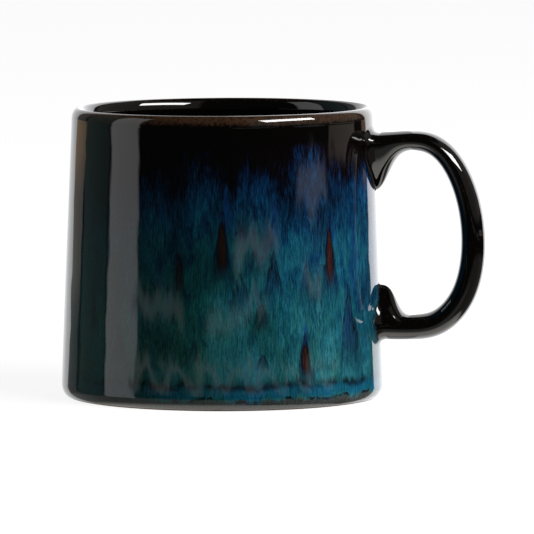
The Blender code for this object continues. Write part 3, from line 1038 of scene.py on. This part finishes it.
# Small windows, placed by where the wall mirrors them in the camera's view: azimuth and its
# softness, height on the wall in mm and its softness, rise of the height in mm per degree,
# radiance
WINDOWS = (
    ((-148, -129), 1.2, (30, 200), 12, 0.0, (0.33, 0.31, 0.28)),
    ((-148, -126), 1.2, (72, 200), 8, 0.0, (0.56, 0.41, 0.28)),
    ((131, 138), 0.8, (68, 150), 6, 0.0, (0.50, 0.33, 0.22)),
    ((89, 119), 1.0, (76, 150), 1.5, 0.0, (0.42, 0.36, 0.31)),
    ((57, 84), 2.0, (56, 69), 1.5, 0.1, (0.62, 0.62, 0.66)),
    ((60, 78), 2.0, (44, 50), 1.5, -0.1, (0.70, 0.72, 0.74)),
    ((8, 40), 3.0, (47, 54), 1.0, 0.05, (0.72, 0.80, 0.78)),
    ((-12, 32), 4.0, (25, 31), 1.0, 0.22, (0.48, 0.55, 0.55)),
    ((-67, -28), 3.0, (27, 34), 1.0, -0.05, (0.42, 0.45, 0.44)),
    ((-70, 92), 2.0, (8, 14), 0.6, 0.0, (0.50, 0.52, 0.51)),
)
# The white backdrop stands behind the mug, past these azimuths, and it glows at the right
BACKDROP = (-146, 138)
BACKDROP_TOP = 48
BACKDROP_WHITE = (1.15, 1.15, 1.16)
BACKDROP_GLOW = (2.3, 2.3, 2.35)
GLOW_START = (132, 137)
ROOM_DARK = (0.020, 0.020, 0.020)  # what the glaze mirrors elsewhere
ROOM_LIGHT = (0.07, 0.07, 0.07)    # what lights the colours from all around
CAMERA_WHITE = (1.0, 1.0, 1.0)
# The wall mirrors at a height in mm of MIRROR_SCALE times the elevation plus MIRROR_OFFSET
# minus MIRROR_BEND times the cosine of half the azimuth
MIRROR_SCALE = 38.2
MIRROR_OFFSET = 6.07
MIRROR_BEND = 4.4
# How far ragged edges stray: in degrees around, and in mm on the wall
STRAY_AROUND = 9.0
STRAY_UP = 16.0


def studio_world():
    world = bpy.data.worlds.new("studio")
    bpy.context.scene.world = world
    nodes = Nodes(world)
    ray = nodes.add("ShaderNodeTexCoord").outputs["Generated"]
    ahead = nodes.vector("DOT_PRODUCT", ray, tuple(direction(0, 0)))
    right = nodes.vector("DOT_PRODUCT", ray, tuple(direction(90, 0)))
    rise = nodes.vector("DOT_PRODUCT", ray, (0, 0, 1))
    azimuth = nodes.math("DEGREES", nodes.math("ARCTAN2", right, ahead))
    elevation = nodes.math("DEGREES", nodes.math("ARCSINE", rise))

    def within(value, low, high, soft):
        return nodes.between(value, (low - soft, low + soft), (high - soft, high + soft))

    half_turn = nodes.math("RADIANS", nodes.math("MULTIPLY", azimuth, 0.5))
    half_turn = nodes.math("COSINE", half_turn)
    level = nodes.math("MULTIPLY_ADD", half_turn, -MIRROR_BEND,
                       nodes.math("ADD", elevation, MIRROR_OFFSET))
    level = nodes.math("MULTIPLY", level, MIRROR_SCALE)
    # This noise in the studio stands in for the uneven glaze, which makes mirrored edges ragged
    place = nodes.add("ShaderNodeCombineXYZ", {0: azimuth, 1: level, 2: 0.0}).outputs[0]

    def ragged(value, rates, detail, stray):
        noise = nodes.noise(nodes.vector("MULTIPLY", place, rates), 1.0, detail, 0.6)
        return nodes.math("MULTIPLY_ADD", nodes.math("SUBTRACT", noise, 0.5), stray, value)

    azimuth = ragged(azimuth, (0.06, 0.07, 0.0), 4.0, STRAY_AROUND)
    level = ragged(level, (0.12, 0.05, 0.0), 3.0, STRAY_UP)

    light = ROOM_DARK
    for sides, soft_side, levels, soft_level, colour in PANELS:
        share = nodes.math("MULTIPLY", within(azimuth, *sides, soft_side),
                           within(elevation, *levels, soft_level))
        light = nodes.mix(share, light, colour)
    for sides, soft_side, levels, soft_level, rise_rate, colour in WINDOWS:
        raised = nodes.math("MULTIPLY_ADD", azimuth, -rise_rate, level)
        share = nodes.math("MULTIPLY", within(azimuth, *sides, soft_side),
                           within(raised, *levels, soft_level))
        light = nodes.mix(share, light, colour)
    left_end, right_end = BACKDROP
    behind = nodes.math("MAXIMUM", nodes.remap(azimuth, right_end - 1, right_end + 1),
                        nodes.remap(azimuth, left_end - 1, left_end + 1, 1.0, 0.0))
    behind = nodes.math("MULTIPLY", behind, within(elevation, -95, BACKDROP_TOP, 2.0))
    glow = nodes.remap(azimuth, *GLOW_START)
    light = nodes.mix(behind, light, nodes.mix(glow, BACKDROP_WHITE, BACKDROP_GLOW))
    path = nodes.add("ShaderNodeLightPath")
    light = nodes.mix(path.outputs["Is Diffuse Ray"], light, ROOM_LIGHT)
    light = nodes.mix(path.outputs["Is Camera Ray"], light, CAMERA_WHITE)
    shader = nodes.add("ShaderNodeBackground", {"Color": light, "Strength": 1.0})
    nodes.add("ShaderNodeOutputWorld", {"Surface": shader.outputs[0]})


def add_floor():
    """A white disc that only the camera sees; the glaze mirrors the studio in its place."""
    count, radius = 128, 12.0
    points = [(radius * math.cos(2 * math.pi * step / count),
               radius * math.sin(2 * math.pi * step / count), 0.0) for step in range(count)]
    mesh = bpy.data.meshes.new("floor")
    mesh.from_pydata(points, [], [tuple(range(count))])
    material = bpy.data.materials.new("pale_floor")
    nodes = Nodes(material)
    nodes.surface(base_color=(0.25, 0.25, 0.25), roughness=1.0, specular_ior_level=0.0,
                  emission_color=(1.0, 1.0, 1.0), emission_strength=0.90)
    mesh.materials.append(material)
    floor = bpy.data.objects.new("floor", mesh)
    floor.visible_glossy = False
    floor.visible_diffuse = False
    bpy.context.scene.collection.objects.link(floor)


add_camera()
add_softbox("key_light", 57.0, 35.0, 3.0, (2.4, 1.6), 80.0, mirrored=False)
add_softbox("key_gloss", 57.0, 36.0, 3.0, (2.2, 0.75), 125.0, mirrored=True)
studio_world()
add_floor()
bpy.context.scene.view_settings.view_transform = "Standard"
